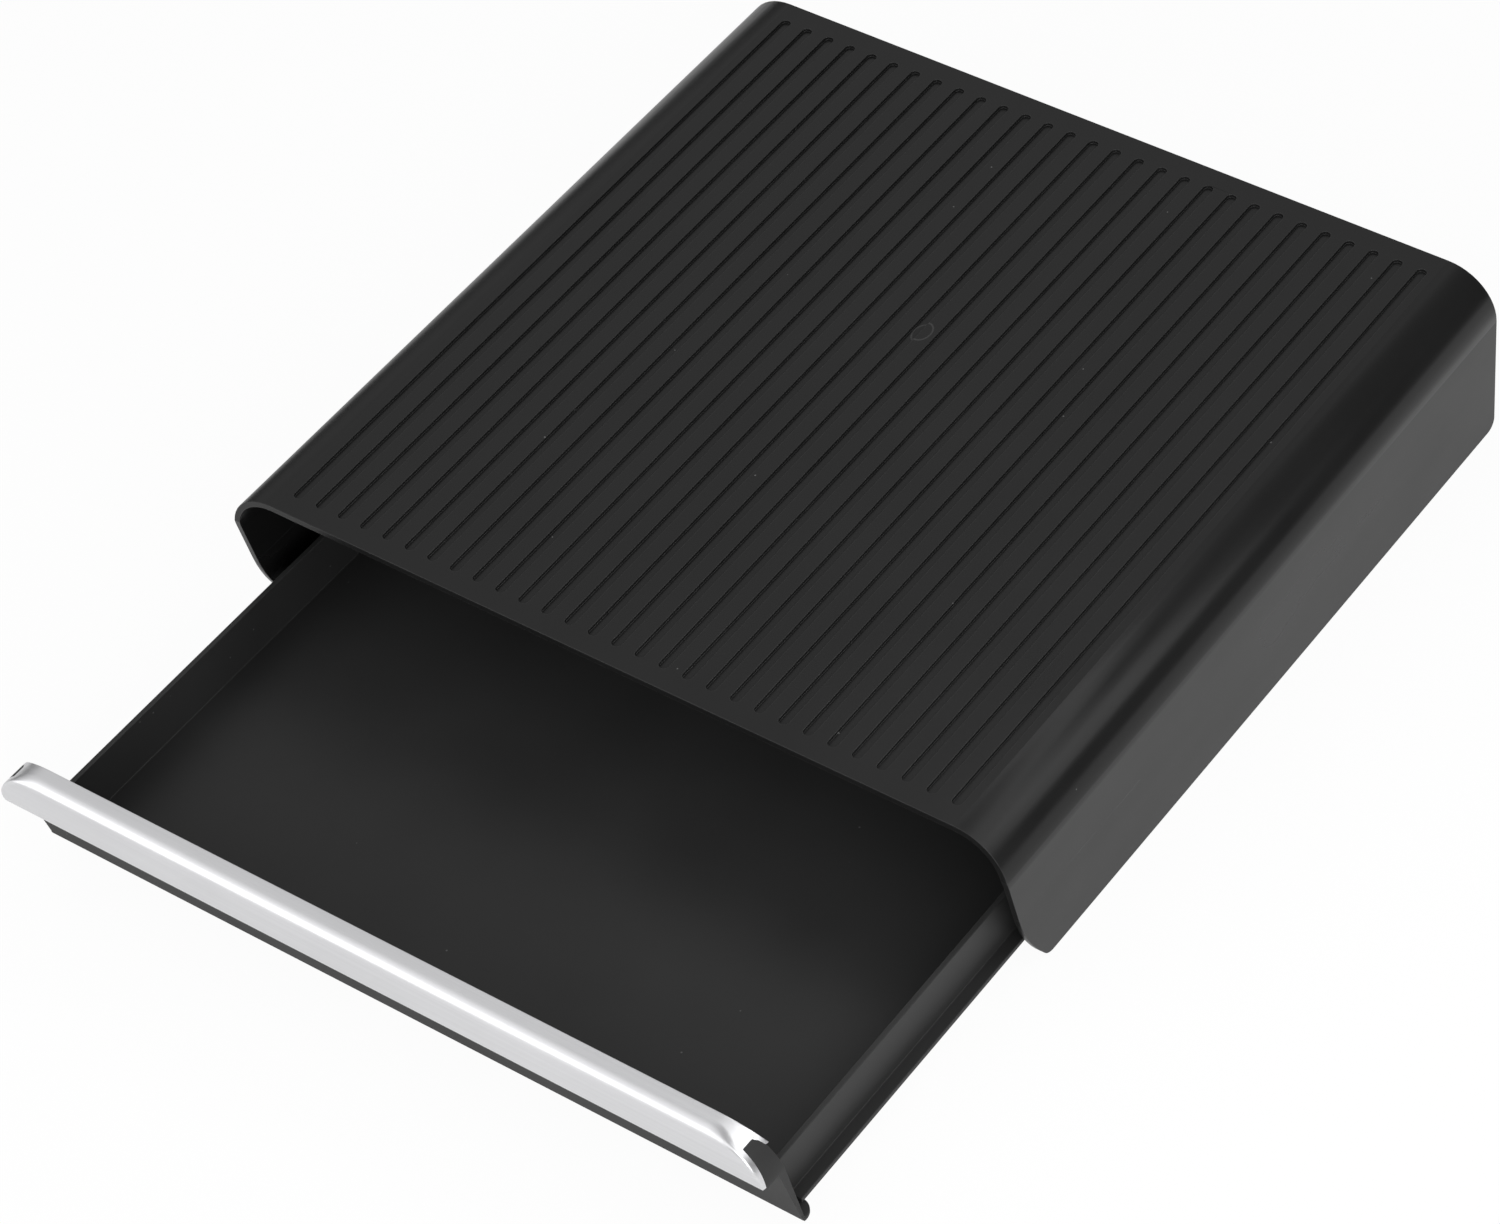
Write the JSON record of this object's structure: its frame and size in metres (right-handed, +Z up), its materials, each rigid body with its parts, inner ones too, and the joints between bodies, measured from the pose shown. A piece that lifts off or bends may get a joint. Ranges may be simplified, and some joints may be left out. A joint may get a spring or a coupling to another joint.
{
  "type": "coffee pod drawer",
  "caption": "Black countertop coffee pod drawer: low grooved cover on four feet, sliding tray with a leaning front panel and a full-width satin silver handle, shown part-way open.",
  "frame": {"origin": "on the counter, at the middle of the bounding box with the drawer standing open as pictured", "axes": "+X to the right, +Y to the rear, +Z up"},
  "size_m": [0.3272, 0.45, 0.0732],
  "materials": {
    "black_plastic": "satin",
    "silver_trim": "satin",
    "foot_rubber": "matte"
  },
  "bodies": {
    "cover": {"cover_shell": "black_plastic", "foot_front_left": "foot_rubber", "foot_front_right": "foot_rubber", "foot_rear_left": "foot_rubber", "foot_rear_right": "foot_rubber"},
    "drawer": {"drawer_tray": "black_plastic", "front_panel": "black_plastic", "handle_trim": "silver_trim"}
  },
  "joints": [
    {"name": "drawer_slide", "type": "slide", "parent": "cover", "child": "drawer", "axis": [0, -1, 0], "range_m": [-0.13, 0.11]}
  ]
}
